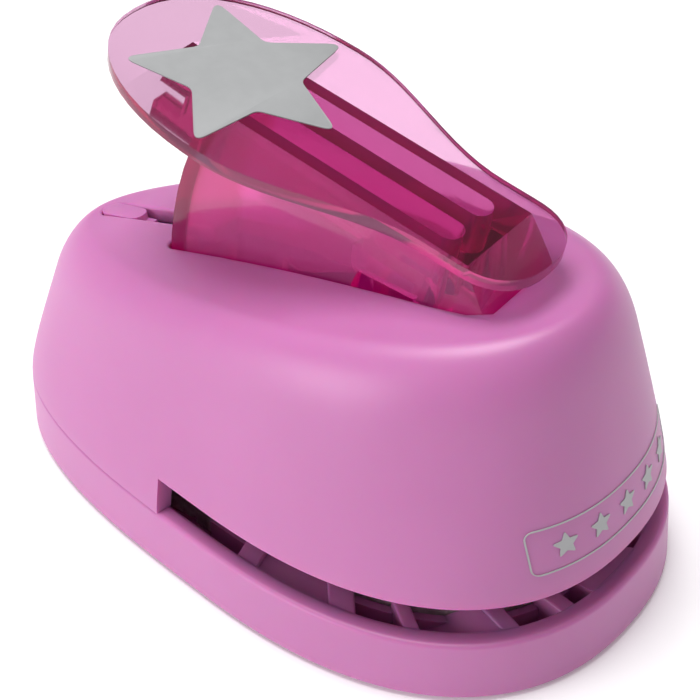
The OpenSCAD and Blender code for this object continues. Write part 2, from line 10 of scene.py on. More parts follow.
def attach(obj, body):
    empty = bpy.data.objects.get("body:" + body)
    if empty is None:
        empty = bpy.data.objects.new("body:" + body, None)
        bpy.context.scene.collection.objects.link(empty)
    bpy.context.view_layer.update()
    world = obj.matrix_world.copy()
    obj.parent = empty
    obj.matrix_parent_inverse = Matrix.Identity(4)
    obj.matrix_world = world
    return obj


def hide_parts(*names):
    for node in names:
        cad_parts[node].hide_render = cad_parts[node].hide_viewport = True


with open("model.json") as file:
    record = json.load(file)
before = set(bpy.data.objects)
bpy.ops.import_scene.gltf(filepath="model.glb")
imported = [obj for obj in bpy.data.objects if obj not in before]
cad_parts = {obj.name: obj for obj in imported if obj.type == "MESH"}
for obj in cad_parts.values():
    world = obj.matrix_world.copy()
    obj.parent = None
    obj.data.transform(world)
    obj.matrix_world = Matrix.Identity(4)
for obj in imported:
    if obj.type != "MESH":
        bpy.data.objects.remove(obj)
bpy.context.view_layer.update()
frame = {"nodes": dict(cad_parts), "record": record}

# The looks of a lever craft punch: smooth moulded shells in place of the CAD cover and base, a clear
# lever, printed star and badge, and a material for every piece. Lengths are millimetres unless a
# comment says otherwise, and MM turns them into Blender's metres. -Y is the front.

MM = 0.001

# ---------------------------------------------------------------- body shape, as in the CAD source
HALF_LENGTH = 38.0
HALF_WIDTH = 22.4
TAPER = 0.22  # how much wider the front is than the back, as a share
FRONT_EXP = 2.28  # exponents of the egg outline's front and back halves
BACK_EXP = 3.1
RIM_HEIGHT = 7.0
RIM_WALL = 1.9
THROAT_TOP = 11.15
THROAT_END = 6.1  # the throat ends at this y on both sides
COVER_FOOT = RIM_HEIGHT + 0.02
COVER_INSET = 0.35
COVER_WALL = 1.8
# the flat top's outline
PLATEAU_HALF_WIDTH = 13.2
PLATEAU_HALF_LENGTH = 31.0
PLATEAU_SHIFT = 1.2
PLATEAU_EXP = 1.95
# the wall's profile as shares of the way in and of the way up: a bend, then an elliptical shoulder
WALL_BEND = (0.03, 0.166)
SHOULDER_IN = 0.38
SHOULDER_UP = 0.47
SHOULDER_START = math.radians(33.0)
TOP_HEIGHT = 31.15
TOP_SLOPE = 0.218
TOP_SAG = 1.46
CAMBER = 0.5
SLOT_HALF = 5.7
SLOT_FRONT = -23.3
SLOT_BACK = 16.95
SLOT_CORNER = 1.3
GROOVE_HALF = 1.3
GROOVE_BACK = 31.4
# the lever
PIVOT = (0.0, -26.0, 21.65)
RISE = math.radians(11.7)
PLATE_TOP = 18.25
PLATE_THICK = 1.3

QUARTER = math.pi / 2


def top_z(y):
    return TOP_HEIGHT - TOP_SLOPE * y - TOP_SAG * (y / HALF_LENGTH) ** 2


def egg_dense(a, b, e, nf, nb, count=6000):
    """Dense egg outline from the front round the right side: half sizes, shift and exponents."""
    t = np.radians(np.linspace(-90, 270, count + 1))
    c, s = np.cos(t), np.sin(t)
    n = np.where(s < 0, nf, nb)
    v = np.sign(s) * np.abs(s) ** (2 / n)
    x = a * np.sign(c) * np.abs(c) ** (2 / n) * (1 - TAPER * v)
    x[0] = x[-1] = 0.0
    return np.column_stack([x, b * v + e])


def run_along(line):
    """Distance from a polyline's start to each of its points."""
    step = np.linalg.norm(np.diff(line, axis=0), axis=1)
    return np.concatenate([[0], np.cumsum(step)])


def at_fractions(line, fractions):
    """Points at the given shares of a polyline's length."""
    run = run_along(line)
    f = np.asarray(fractions) * run[-1]
    return np.column_stack([np.interp(f, run, line[:, k]) for k in range(line.shape[1])])


def share_outline(share, wall, fractions):
    """Outline of the cover at a share of the way from its foot in to the plateau's edge."""
    foot_a, foot_b = HALF_WIDTH - COVER_INSET, HALF_LENGTH - COVER_INSET
    a = foot_a + (PLATEAU_HALF_WIDTH - HALF_WIDTH + COVER_INSET) * share - wall
    b = foot_b + (PLATEAU_HALF_LENGTH - HALF_LENGTH + COVER_INSET) * share - wall
    nf = FRONT_EXP + (PLATEAU_EXP - FRONT_EXP) * share
    nb = BACK_EXP + (PLATEAU_EXP - BACK_EXP) * share
    return at_fractions(egg_dense(a, b, PLATEAU_SHIFT * share, nf, nb), fractions)


def base_outline(inset, fractions):
    line = egg_dense(HALF_WIDTH - inset, HALF_LENGTH - inset, 0.0, FRONT_EXP, BACK_EXP)
    return at_fractions(line, fractions)


def profile(wall_steps, arc_steps):
    """The wall's profile from foot to top, as (share in, share up) points."""
    def shoulder(q):
        return np.array([SHOULDER_IN + (1 - SHOULDER_IN) * (1 - math.cos(q)),
                         SHOULDER_UP + (1 - SHOULDER_UP) * math.sin(q)])
    out = [2 * t * (1 - t) * np.array(WALL_BEND) + t * t * shoulder(SHOULDER_START)
           for t in np.linspace(0, 1, wall_steps, endpoint=False)]
    return out + [shoulder(q) for q in np.linspace(SHOULDER_START, QUARTER, arc_steps + 1)]


def body_rows(depth, foot, fractions, wall_steps=40, arc_steps=40):
    """Rows of points on the cover at a depth under its outside, from its foot to the plateau."""
    rows = []
    for share, rise in profile(wall_steps, arc_steps):
        p = share_outline(share, depth, fractions)
        rows.append(np.column_stack([p, foot + (top_z(p[:, 1]) - depth - foot) * rise]))
    return np.array(rows)


def surface_z(p, drop=0.0):
    """Height of the top at points inside the plateau."""
    v = (p[:, 1] - PLATEAU_SHIFT) / PLATEAU_HALF_LENGTH
    u = p[:, 0] / (PLATEAU_HALF_WIDTH * (1 - TAPER * v))
    reach = (np.abs(u) ** PLATEAU_EXP + np.abs(v) ** PLATEAU_EXP) ** (2 / PLATEAU_EXP)
    return top_z(p[:, 1]) - drop + CAMBER * (1 - np.minimum(1.0, reach)) ** 1.5


# ---------------------------------------------------------------- mesh helpers
class Builder:
    """Collects vertices and faces."""

    def __init__(self):
        self.verts = []
        self.faces = []

    def add(self, points):
        start = len(self.verts)
        self.verts.extend([tuple(p) for p in points])
        return list(range(start, start + len(points)))

    def bridge(self, a, b, closed=True):
        n = len(a)
        for i in range(n if closed else n - 1):
            k = (i + 1) % n
            self.faces.append((a[i], a[k], b[k], b[i]))

    def bridge_all(self, rows, columns=None):
        """Bridges each row to the next: all round, or along an open run of columns."""
        for a, c in zip(rows, rows[1:]):
            if columns is None:
                self.bridge(a, c)
            else:
                self.bridge([a[i] for i in columns], [c[i] for i in columns], closed=False)

    def merge(self, verts, faces):
        start = len(self.verts)
        self.verts += [tuple(v) for v in verts]
        self.faces += [[i + start for i in face] for face in faces]


def mesh_of(name, verts, faces):
    """Mesh from millimetre points, with its normals facing out."""
    mesh = bpy.data.meshes.new(name)
    points = [tuple(float(c) * MM for c in v) for v in verts]
    mesh.from_pydata(points, [], [tuple(int(i) for i in f) for f in faces])
    bm = bmesh.new()
    bm.from_mesh(mesh)
    bmesh.ops.recalc_face_normals(bm, faces=bm.faces)
    bm.to_mesh(mesh)
    bm.free()
    return mesh


def linked(name, data):
    obj = bpy.data.objects.new(name, data)
    bpy.context.scene.collection.objects.link(obj)
    return obj


def loose_object(name, builder):
    return linked(name, mesh_of(name, builder.verts, builder.faces))


def take_mesh(obj):
    """An object's mesh, with the object itself removed."""
    mesh = obj.data
    bpy.data.objects.remove(obj)
    return mesh


def finish_object(name, mesh, body, material, smooth, node):
    """A visible piece that rides on a body and takes the place of a CAD node."""
    mesh.shade_smooth()
    mesh.set_sharp_from_angle(angle=math.radians(smooth))
    mesh.materials.clear()
    mesh.materials.append(material)
    obj = linked(name, mesh)
    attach(obj, body)
    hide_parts(node)
    return obj


def apply_modifiers(obj):
    """Turns an object's modifiers into its mesh."""
    deps = bpy.context.evaluated_depsgraph_get()
    deps.update()
    mesh = bpy.data.meshes.new_from_object(obj.evaluated_get(deps))
    obj.modifiers.clear()
    old = obj.data
    obj.data = mesh
    bpy.data.meshes.remove(old)


# ---------------------------------------------------------------- material helpers
def new_material(name):
    mat = bpy.data.materials.new(name)
    mat.use_nodes = True
    tree = mat.node_tree
    return mat, tree, tree.nodes["Principled BSDF"]


def noise(tree, scale, detail=4.0, rough=0.5, stretch=(1, 1, 1)):
    coord = tree.nodes.new("ShaderNodeTexCoord")
    mapping = tree.nodes.new("ShaderNodeMapping")
    mapping.inputs["Scale"].default_value = stretch
    tex = tree.nodes.new("ShaderNodeTexNoise")
    tex.inputs["Scale"].default_value = scale
    tex.inputs["Detail"].default_value = detail
    tex.inputs["Roughness"].default_value = rough
    tree.links.new(coord.outputs["Object"], mapping.inputs["Vector"])
    tree.links.new(mapping.outputs["Vector"], tex.inputs["Vector"])
    return tex.outputs["Fac"]


def colour_ramp(tree, shader, source, stops):
    """Colours the base by a source value; each stop is (position, colour)."""
    node = tree.nodes.new("ShaderNodeValToRGB")
    el = node.color_ramp.elements
    el[0].position, el[0].color = stops[0][0], (*stops[0][1], 1)
    el[1].position, el[1].color = stops[-1][0], (*stops[-1][1], 1)
    for position, colour in stops[1:-1]:
        el.new(position).color = (*colour, 1)
    tree.links.new(source, node.inputs["Fac"])
    tree.links.new(node.outputs["Color"], shader.inputs["Base Color"])


def roughness_range(tree, shader, source, low, high):
    node = tree.nodes.new("ShaderNodeMapRange")
    node.inputs["To Min"].default_value = low
    node.inputs["To Max"].default_value = high
    tree.links.new(source, node.inputs["Value"])
    tree.links.new(node.outputs["Result"], shader.inputs["Roughness"])


def bump(tree, shader, source, strength, distance):
    """The distance is in metres."""
    node = tree.nodes.new("ShaderNodeBump")
    node.inputs["Strength"].default_value = strength
    node.inputs["Distance"].default_value = distance
    tree.links.new(source, node.inputs["Height"])
    tree.links.new(node.outputs["Normal"], shader.inputs["Normal"])


# ---------------------------------------------------------------- materials
def pink_plastic():
    mat, tree, shader = new_material("pink_satin_plastic")
    mottle = noise(tree, 60, 3)
    grain = noise(tree, 1900, 2)
    colour_ramp(tree, shader, mottle, [(0.3, (0.525, 0.165, 0.405)), (0.7, (0.555, 0.178, 0.43))])
    roughness_range(tree, shader, mottle, 0.37, 0.43)
    bump(tree, shader, grain, 0.05, 0.00006)
    shader.inputs["IOR"].default_value = 1.54
    shader.inputs["Subsurface Weight"].default_value = 0.45
    shader.inputs["Subsurface Radius"].default_value = (1.0, 0.1, 0.32)
    shader.inputs["Subsurface Scale"].default_value = 0.0022
    return mat


def clear_magenta(name, colour, transmission, rough, glow):
    mat, tree, shader = new_material(name)
    shader.inputs["Base Color"].default_value = (*colour, 1)
    shader.inputs["Transmission Weight"].default_value = transmission
    shader.inputs["IOR"].default_value = 1.42
    # stands in for the light that such plastic gathers and gives back
    shader.inputs["Emission Color"].default_value = (0.75, 0.0, 0.33, 1)
    shader.inputs["Emission Strength"].default_value = glow
    flow = noise(tree, 45, 2, stretch=(1, 0.35, 1))
    roughness_range(tree, shader, flow, rough, rough + 0.05)
    bump(tree, shader, flow, 0.05, 0.0002)
    absorption = tree.nodes.new("ShaderNodeVolumeAbsorption")
    absorption.inputs["Color"].default_value = (0.89, 0.04, 0.62, 1)
    absorption.inputs["Density"].default_value = 290.0
    tree.links.new(absorption.outputs["Volume"], tree.nodes["Material Output"].inputs["Volume"])
    return mat


# the lever's curved back wall lies past this distance from the pivot, in metres; past it the walls take a
# painted shade
BACK_WALL_SHADE_FROM = 0.0410
BACK_WALL_SHADE_FULL = 0.0416


def paint_back_wall_shade(mat, near, shade_colour):
    """The curved back wall, square to the sides, takes a painted shade: a darker colour than they have,
    standing in for the darkening seen looking along its depth through the clear plastic.
    """
    tree = mat.node_tree
    coord = tree.nodes.new("ShaderNodeTexCoord")
    reach = tree.nodes.new("ShaderNodeVectorMath")
    reach.operation = "DISTANCE"
    tree.links.new(coord.outputs["Object"], reach.inputs[0])
    reach.inputs[1].default_value = (0, PIVOT[1] * MM, PIVOT[2] * MM)
    share = tree.nodes.new("ShaderNodeMapRange")
    share.inputs["From Min"].default_value = BACK_WALL_SHADE_FROM
    share.inputs["From Max"].default_value = BACK_WALL_SHADE_FULL
    tree.links.new(reach.outputs["Value"], share.inputs["Value"])
    shader = tree.nodes["Principled BSDF"]
    colour_ramp(tree, shader, share.outputs["Result"], [(0.0, near), (1.0, shade_colour)])


def silver_print(name, colour, rough):
    mat, tree, shader = new_material(name)
    fine = noise(tree, 700, 3)
    colour_ramp(tree, shader, fine, [(0.35, tuple(c * 0.96 for c in colour)), (0.65, colour)])
    roughness_range(tree, shader, fine, rough - 0.05, rough + 0.05)
    bump(tree, shader, fine, 0.05, 0.00003)
    return mat


def die_cast():
    mat, tree, shader = new_material("rough_die_casting")
    big = noise(tree, 260, 6, 0.65)
    small = noise(tree, 1500, 5, 0.7)
    colour_ramp(tree, shader, big,
                [(0.3, (0.3, 0.22, 0.24)), (0.55, (0.62, 0.5, 0.53)), (0.75, (0.95, 0.9, 0.9))])
    shader.inputs["Metallic"].default_value = 0.2
    roughness_range(tree, shader, small, 0.3, 0.65)
    add = tree.nodes.new("ShaderNodeMath")
    add.operation = "ADD"
    tree.links.new(big, add.inputs[0])
    tree.links.new(small, add.inputs[1])
    bump(tree, shader, add.outputs["Value"], 0.9, 0.0004)
    return mat


def metal(name, colour, rough, stretch=(1, 1, 1), scale=500, bump_strength=0.15):
    mat, tree, shader = new_material(name)
    grain = noise(tree, scale, 3, stretch=stretch)
    colour_ramp(tree, shader, grain, [(0.3, tuple(c * 0.8 for c in colour)), (0.7, colour)])
    shader.inputs["Metallic"].default_value = 1.0
    roughness_range(tree, shader, grain, rough - 0.08, rough + 0.1)
    bump(tree, shader, grain, bump_strength, 0.00005)
    return mat


def white_acetal():
    mat, tree, shader = new_material("white_acetal")
    fine = noise(tree, 400, 3)
    colour_ramp(tree, shader, fine, [(0.3, (0.78, 0.77, 0.73)), (0.7, (0.84, 0.83, 0.8))])
    roughness_range(tree, shader, fine, 0.35, 0.5)
    shader.inputs["Subsurface Weight"].default_value = 0.1
    shader.inputs["Subsurface Scale"].default_value = 0.001
    return mat


WALL_COLOUR = (0.88, 0.4, 0.7)
# painted shade for the back wall, standing in for the darkening seen looking along its depth
BACK_WALL_SHADE_COLOUR = (0.6, 0.07, 0.24)
PINK = pink_plastic()
CLEAR = clear_magenta("clear_magenta_plate", (0.7, 0.62, 0.68), 1.0, 0.015, 0.01)
CLEAR_WALLS = clear_magenta("clear_magenta_walls", WALL_COLOUR, 0.88, 0.08, 0.07)
# the back wall's painted shade, laid over the walls' own colour
paint_back_wall_shade(CLEAR_WALLS, WALL_COLOUR, BACK_WALL_SHADE_COLOUR)
STAR_GREY = silver_print("grey_star_print", (0.37, 0.375, 0.38), 0.6)
SILVER = silver_print("silver_badge_print", (0.45, 0.45, 0.46), 0.5)

material_by_slot = {
    "pink_plastic": PINK,
    "clear_magenta": CLEAR,
    "silver_foil": SILVER,
    "die_cast": die_cast(),
    "steel": metal("ground_steel", (0.6, 0.6, 0.62), 0.3, stretch=(1, 1, 6)),
    "spring_steel": metal("spring_wire", (0.5, 0.5, 0.52), 0.25, scale=900),
    "bronze": metal("sintered_bronze", (0.55, 0.38, 0.17), 0.42, scale=900, bump_strength=0.4),
    "white_acetal": white_acetal(),
}
for part in frame["record"]["subparts"]:
    for material_slot in frame["nodes"][part["node"]].material_slots:
        material_slot.link = "OBJECT"
        material_slot.material = material_by_slot[part["material_slot"]]

# ---------------------------------------------------------------- cover
# columns of the mesh on each side of the body, beside the throat and behind it
FRONT_COLUMNS = 84
REAR_COLUMNS = 84
COVER_EDGE = 0.35  # radius of the edge over the throat
SLOT_EDGE = 0.4  # radius of the edge round the lever's slot
FOOT_OVERLAP = 0.8  # how far under the cover's foot its inner profile starts
CORNER_STEPS = 9
SIDE_STEP = 0.15  # half the distance over which the slot outline's direction is taken


def column_fractions():
    """Shares of the outline's length at which the columns stand, with one at each throat end."""
    shares = np.linspace(0, 0.5, 4001)
    ring = share_outline(0.07, 0, shares)
    throat_share = np.interp(THROAT_END, ring[:, 1], shares)
    front = np.linspace(0, throat_share, FRONT_COLUMNS + 1)
    rear = np.linspace(throat_share, 0.5, REAR_COLUMNS + 1)
    right = np.concatenate([front, rear[1:]])
    return np.concatenate([right, 1 - right[-2:0:-1]])


def arc(x, y, r, start, end):
    """Points on an arc about (x, y), from just after its start."""
    return [(x + r * math.cos(q), y + r * math.sin(q)) for q in np.linspace(start, end, CORNER_STEPS)[1:]]


def mirrored(half):
    """A ring made of its right half and that half's left copy."""
    return np.vstack([half, half[-2:0:-1] * (-1, 1)])


def slot_outline(fractions):
    """Outline of the lever slot and the groove behind it, one point for each column, and the
    outward side there. Most of the side's columns meet at the slot's back corner, so that few are
    left for the straight, and one long step cuts across each front corner of the slot."""
    r, g = SLOT_CORNER, GROOVE_HALF
    corner_x = SLOT_HALF - r
    half = [(0.0, SLOT_FRONT), (corner_x, SLOT_FRONT)]
    half += arc(corner_x, SLOT_FRONT + r, r, -QUARTER, 0)
    straight_end = len(half)
    half += [(SLOT_HALF, SLOT_BACK - r)]
    half += arc(corner_x, SLOT_BACK - r, r, 0, QUARTER)
    groove_corner = len(half)
    half += [(g, SLOT_BACK), (g, GROOVE_BACK - g)]
    half += arc(0, GROOVE_BACK - g, g, 0, QUARTER)
    half = np.array(half)
    run = run_along(half)

    # which place on the slot each place on the plateau's edge is joined to
    shares = np.linspace(0, 0.5, 2001)
    edge_y = share_outline(1.0, 0, shares)[:, 1]
    marks = [(-28.6, corner_x), (-24.5, run[straight_end]),
             (19.5, run[straight_end + 1]), (25.5, run[groove_corner])]
    known_share = [0.0] + [np.interp(y, edge_y, shares) for y, _ in marks] + [0.5]
    known_run = [0.0] + [s for _, s in marks] + [run[-1]]
    s = np.interp(fractions[:len(fractions) // 2 + 1], known_share, known_run)
    s[np.argmin(np.abs(s - run[groove_corner]))] = run[groove_corner]

    def point_at(distance):
        return np.column_stack([np.interp(distance, run, half[:, k]) for k in (0, 1)])

    p = point_at(s)
    along_slot = point_at(np.minimum(s + SIDE_STEP, run[-1])) - point_at(np.maximum(s - SIDE_STEP, 0))
    along_slot /= np.linalg.norm(along_slot, axis=1)[:, None]
    side = np.column_stack([along_slot[:, 1], -along_slot[:, 0]])
    side[0] = (0, -1)
    side[-1] = (0, 1)
    return mirrored(p), mirrored(side)


def along(rows, where):
    """Points on dense profile rows at a fractional row number for each column."""
    j = np.clip(np.floor(where).astype(int), 0, len(rows) - 2)
    w = (where - j)[:, None]
    i = np.arange(rows.shape[1])
    return rows[j, i] * (1 - w) + rows[j + 1, i] * w


def row_at_height(rows, z):
    """The fractional row number at a height, for each column."""
    return np.array([np.interp(z, rows[:, i, 2], np.arange(len(rows))) for i in range(rows.shape[1])])


def rows_between(b, dense, low, high, steps):
    """Adds evenly spaced rows of a dense profile and gives their vertex numbers."""
    return [b.add(along(dense, low + (high - low) * k)) for k in steps]


def cover_top(b, outer, inner, slot, side):
    """Rows from the plateau's edge in to the slot, down its wall and out again underneath."""
    rows = []
    edge, inner_edge = outer[-1][:, :2], inner[-1][:, :2]
    start = slot + side * SLOT_EDGE
    for k in np.linspace(0, 1, 15)[1:]:
        p = edge * (1 - k) + start * k
        rows.append(b.add(np.column_stack([p, surface_z(p)])))
    for q in np.linspace(0, QUARTER, 6)[1:]:
        p = slot + side * SLOT_EDGE * (1 - math.sin(q))
        rows.append(b.add(np.column_stack([p, surface_z(p) - SLOT_EDGE * (1 - math.cos(q))])))
    z_out, z_in = surface_z(slot) - SLOT_EDGE, surface_z(slot, COVER_WALL)
    for k in (0.5, 1.0):
        rows.append(b.add(np.column_stack([slot, z_out * (1 - k) + z_in * k])))
    camber = z_in - top_z(slot[:, 1]) + COVER_WALL
    for k in np.linspace(0, 1, 6)[1:]:
        p = slot * (1 - k) + inner_edge * k
        rows.append(b.add(np.column_stack([p, top_z(p[:, 1]) - COVER_WALL + camber * (1 - k)])))
    return rows


def throat_lip(b, outer, lip_outer, lip_inner):
    """Rows of the rounded lip over the throat, from the outside to the inside."""
    lip = along(outer, row_at_height(outer, THROAT_TOP))
    inward = np.array([b.verts[i] for i in lip_inner]) - lip
    inward[:, 2] = 0
    inward /= np.linalg.norm(inward, axis=1)[:, None]
    rows = [lip_outer]
    for q in np.linspace(0, QUARTER, 6)[1:]:
        p = lip + inward * COVER_EDGE * (1 - math.cos(q))
        p[:, 2] = THROAT_TOP + COVER_EDGE * (1 - math.sin(q))
        rows.append(b.add(p))
    return rows + [lip_inner]


def build_cover():
    f = column_fractions()
    count = len(f)
    outer = body_rows(0, COVER_FOOT, f)
    inner = body_rows(COVER_WALL, COVER_FOOT - FOOT_OVERLAP, f)
    top_row = len(outer) - 1
    right_end, left_end = FRONT_COLUMNS, count - FRONT_COLUMNS
    rear = list(range(right_end, left_end + 1))
    front = list(range(left_end, count)) + list(range(right_end + 1))
    slot, side = slot_outline(f)
    b = Builder()

    # one closed skin: up the outside, over the top, down into the slot and down the inside
    lip_out_row = row_at_height(outer, THROAT_TOP + COVER_EDGE)
    lip_in_row = row_at_height(inner, THROAT_TOP)
    rows = rows_between(b, outer, lip_out_row, top_row, np.linspace(0, 1, 58))
    rows += cover_top(b, outer, inner, slot, side)
    rows += rows_between(b, inner, lip_in_row, top_row, np.linspace(1, 0, 24)[1:])
    b.bridge_all(rows)
    lip_outer, lip_inner = rows[0], rows[-1]

    # the lip closes that skin over the throat
    lips = throat_lip(b, outer, lip_outer, lip_inner)
    b.bridge_all(lips, front)

    # beside and behind the throat the wall goes on down to the base
    foot = COVER_FOOT + 0.02
    down = np.linspace(0, 1, 7)[:-1]
    outs = rows_between(b, outer, row_at_height(outer, foot), lip_out_row, down) + [lip_outer]
    ins = rows_between(b, inner, row_at_height(inner, foot), lip_in_row, down) + [lip_inner]
    b.bridge_all(outs, rear)
    b.bridge_all(ins, rear)
    b.bridge_all([outs[0], ins[0]], rear)
    for i in (right_end, left_end):
        b.faces.append([row[i] for row in outs + lips[1:-1] + ins[::-1]])

    shell = loose_object("housing_cover_shell", b)
    bm = bmesh.new()
    bm.from_mesh(shell.data)
    used = {v for face in bm.faces for v in face.verts}
    bmesh.ops.delete(bm, geom=[v for v in bm.verts if v not in used], context="VERTS")
    bmesh.ops.recalc_face_normals(bm, faces=bm.faces)
    bm.to_mesh(shell.data)
    bm.free()
    finish_object("housing_cover_shell", take_mesh(shell), "body", PINK, 50, "housing_cover")


# ---------------------------------------------------------------- base
# ribs in the front half: angle and width, on both sides
RIBS = ((195, 2.6), (220.5, 2.6), (233, 1.5), (248.5, 1.8), (258.5, 1.8))
# raised pocket floors: from angle, to angle, height at each end, on both sides
RAISED = ((195, 220.5, 6.3, 6.3), (233, 248.5, 3.2, 6.6), (264, 270, 6.5, 6.6))
RIB_ROOT = 1.4
RIB_TOP = RIM_HEIGHT - 0.2
RIB_EDGE = 0.3
# the wall that locates the castings
LOCATING_OUTER = 5.0
LOCATING_INNER = 5.8
LOCATING_TOP = 4.9
LOCATING_FROM, LOCATING_TO = 171, 369
FOOT_RADIUS = 0.6
DRAFT = 0.3
CROWN = 0.5
RIM_INNER = RIM_WALL + 0.3
# the inside of the rim: inset past RIM_INNER and height
RIM_INSIDE = ((-0.45, RIM_HEIGHT), (-0.2, RIM_HEIGHT - 0.03), (-0.06, RIM_HEIGHT - 0.12),
              (0, RIM_HEIGHT - 0.3), (0, 5.0), (0, 3.4), (0, 2.1), (0.15, 1.75), (0.5, 1.6))
# openings in the floor: x, y, radius and number of sides; the first lets the cut star drop out
FLOOR_HOLES = ((0, -8, 12.2, 96), (-11.5, -21, 2.5, 40), (11.5, -21, 2.5, 40), (-11.6, 13, 2.6, 40),
               (11.6, 13, 2.6, 40), (-8.6, 25.8, 2.6, 40), (8.6, 25.8, 2.6, 40))
HOLE_FROM, HOLE_TO = -1, 4


def rounded_bar(length, width, z0, z1):
    """A bar along X with its top edges rounded."""
    bm = bmesh.new()
    bmesh.ops.create_cube(bm, size=1.0)
    bmesh.ops.scale(bm, vec=(length, width, z1 - z0), verts=bm.verts)
    bmesh.ops.translate(bm, vec=(0, 0, (z0 + z1) / 2), verts=bm.verts)
    top_edges = [e for e in bm.edges if min(v.co.z for v in e.verts) > z1 - 1e-4]
    bmesh.ops.bevel(bm, geom=top_edges, offset=RIB_EDGE, segments=3, profile=0.5, affect="EDGES")
    verts = np.array([tuple(v.co) for v in bm.verts])
    faces = [[v.index for v in f.verts] for f in bm.faces]
    bm.free()
    return verts, faces


def radius_at(outline, angle):
    """Distance from the middle to an outline, at an angle in degrees."""
    a = np.degrees(np.arctan2(outline[:, 1], outline[:, 0])) % 360
    order = np.argsort(a)
    return np.interp(angle % 360, a[order], np.linalg.norm(outline, axis=1)[order], period=360)


def closed_sector(angles, sections):
    """Solid swept through the angles; each section lists (radius, height) points."""
    c = Builder()
    rings = []
    for a, section in zip(angles, sections):
        q = math.radians(a)
        rings.append(c.add([(r * math.cos(q), r * math.sin(q), z) for r, z in section]))
    c.bridge_all(rings)
    c.faces += [rings[0], rings[-1]]
    return c


def tray_shell(f):
    b = Builder()

    def row(inset, z):
        p = base_outline(inset, f)
        return b.add(np.column_stack([p, np.full(len(p), z)]))

    rows = [row(FOOT_RADIUS * (1 - math.sin(q)), FOOT_RADIUS * (1 - math.cos(q)))
            for q in np.linspace(0, QUARTER, 6)]
    rows += [row(DRAFT * k, FOOT_RADIUS + (RIM_HEIGHT - CROWN - FOOT_RADIUS) * k)
             for k in np.linspace(0, 1, 8)[1:]]
    rows += [row(DRAFT + CROWN * (1 - math.cos(q)), RIM_HEIGHT - CROWN + CROWN * math.sin(q))
             for q in np.linspace(0, QUARTER, 8)[1:]]
    rows += [row(RIM_INNER + inset, z) for inset, z in RIM_INSIDE]
    b.bridge_all(rows)
    b.faces += [rows[0], rows[-1]]
    return loose_object("base_tray_shell", b)


def cut_floor_holes(shell):
    holes = Builder()
    for x, y, r, sides in FLOOR_HOLES:
        t = np.linspace(0, 2 * math.pi, sides, endpoint=False)
        low, high = (holes.add([(x + r * math.cos(a), y + r * math.sin(a), z) for a in t])
                     for z in (HOLE_FROM, HOLE_TO))
        holes.bridge(low, high)
        holes.faces += [low, high]
    tool = loose_object("floor_holes", holes)
    mod = shell.modifiers.new("holes", "BOOLEAN")
    mod.object = tool
    mod.operation = "DIFFERENCE"
    mod.solver = "EXACT"
    apply_modifiers(shell)
    bpy.data.objects.remove(tool)


def tray_ribs(f):
    """Ribs, raised pocket floors and the locating wall, in the front half."""
    parts = Builder()
    rim = base_outline(RIM_WALL - 0.1, f)
    wall_out = base_outline(LOCATING_OUTER, f)
    wall_in = base_outline(LOCATING_INNER, f)
    for side in (1, -1):
        for angle, width in RIBS:
            r1 = radius_at(rim, angle) + 0.2
            r0 = radius_at(wall_in, angle)
            v, faces = rounded_bar(r1 - r0, width, RIB_ROOT, RIB_TOP)
            v[:, 0] += (r0 + r1) / 2
            a = math.radians(angle)
            x = v[:, 0] * math.cos(a) - v[:, 1] * math.sin(a)
            y = v[:, 0] * math.sin(a) + v[:, 1] * math.cos(a)
            parts.merge(np.column_stack([x * side, y, v[:, 2]]), faces)
        for a0, a1, h0, h1 in RAISED:
            span = np.linspace(a0, a1, 16)
            sections = []
            for k, a in zip(np.linspace(0, 1, 16), span):
                top = h0 + (h1 - h0) * k * k * (3 - 2 * k)
                ro, ri = radius_at(rim, a) + 0.1, radius_at(wall_in, a)
                fillet = min(RIM_HEIGHT - 0.12, top + 0.45)
                sections.append([(ro, RIB_ROOT), (ro, fillet), (ro - 0.5, fillet - 0.1),
                                 (ro - 1.0, top + 0.08), (ro - 1.6, top), (ri, top - 0.15), (ri, RIB_ROOT)])
            c = closed_sector(span, sections)
            parts.merge(np.array(c.verts) * (side, 1, 1), c.faces)
    span = np.linspace(LOCATING_FROM, LOCATING_TO, 100)
    sections = [[(radius_at(wall_in, a), RIB_ROOT), (radius_at(wall_in, a), LOCATING_TOP),
                 (radius_at(wall_out, a), LOCATING_TOP), (radius_at(wall_out, a), RIB_ROOT)] for a in span]
    c = closed_sector(span, sections)
    parts.merge(c.verts, c.faces)
    return loose_object("ribs", parts)


def build_base():
    f = np.linspace(0, 1, 300, endpoint=False)
    shell = tray_shell(f)
    cut_floor_holes(shell)
    ribs = tray_ribs(f)
    bm = bmesh.new()
    bm.from_mesh(shell.data)
    bm.from_mesh(ribs.data)
    bm.to_mesh(shell.data)
    bm.free()
    bpy.data.objects.remove(ribs)
    finish_object("base_tray_shell", take_mesh(shell), "body", PINK, 42, "base_tray")


# ---------------------------------------------------------------- softened copies of CAD nodes
SOFT_EDGE = 0.3
SOFT_SEGMENTS = 3


def softened(node, name, body, material):
    """A copy of a CAD node with its flat faces merged and its edges rounded."""
    bm = bmesh.new()
    bm.from_mesh(frame["nodes"][node].data)
    bmesh.ops.remove_doubles(bm, verts=bm.verts, dist=1e-6)
    bmesh.ops.dissolve_limit(bm, angle_limit=math.radians(0.6), verts=bm.verts, edges=bm.edges,
                             use_dissolve_boundaries=False)
    mesh = bpy.data.meshes.new(name)
    bm.to_mesh(mesh)
    bm.free()
    copy = linked(name + "_copy", mesh)
    mod = copy.modifiers.new("edges", "BEVEL")
    mod.width = SOFT_EDGE * MM
    mod.segments = SOFT_SEGMENTS
    mod.limit_method = "ANGLE"
    mod.angle_limit = math.radians(30)
    mod.use_clamp_overlap = True
    mod.miter_outer = "MITER_ARC"
    apply_modifiers(copy)
    return finish_object(name, take_mesh(copy), body, material, 40, node)


